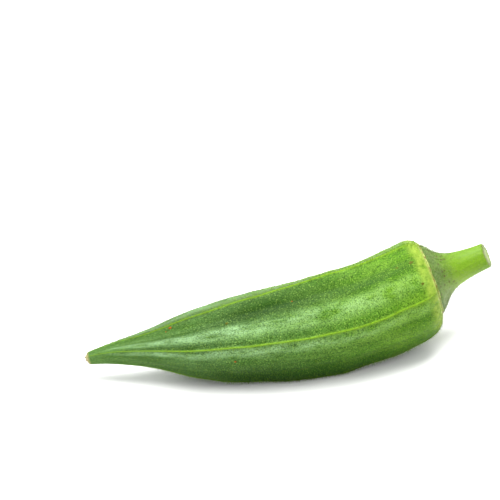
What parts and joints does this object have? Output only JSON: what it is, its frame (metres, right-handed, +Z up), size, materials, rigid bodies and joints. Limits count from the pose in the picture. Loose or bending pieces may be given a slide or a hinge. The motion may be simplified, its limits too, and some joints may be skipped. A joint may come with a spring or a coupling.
{
  "type": "okra pod",
  "caption": "Fresh green okra pod with ribs, a narrow tip, a rounded shoulder and a short cut stalk, lying on its side.",
  "frame": {"origin": "middle of the pod's bounding box, at the level of the surface that it lies on", "axes": "+X along the pod from its tip towards its stem, +Z up, and +Y towards the inside of its sideways bend"},
  "size_m": [0.1032, 0.0284, 0.0267],
  "materials": {
    "skin": "satin green vegetable skin with short pale fuzz, yellower on the ribs and the shoulder",
    "stalk": "satin yellow-green stalk with a grey-green fuzzy cone and a pale cut end"
  },
  "bodies": {
    "root": {"pod": "skin", "stem": "stalk"}
  },
  "joints": []
}
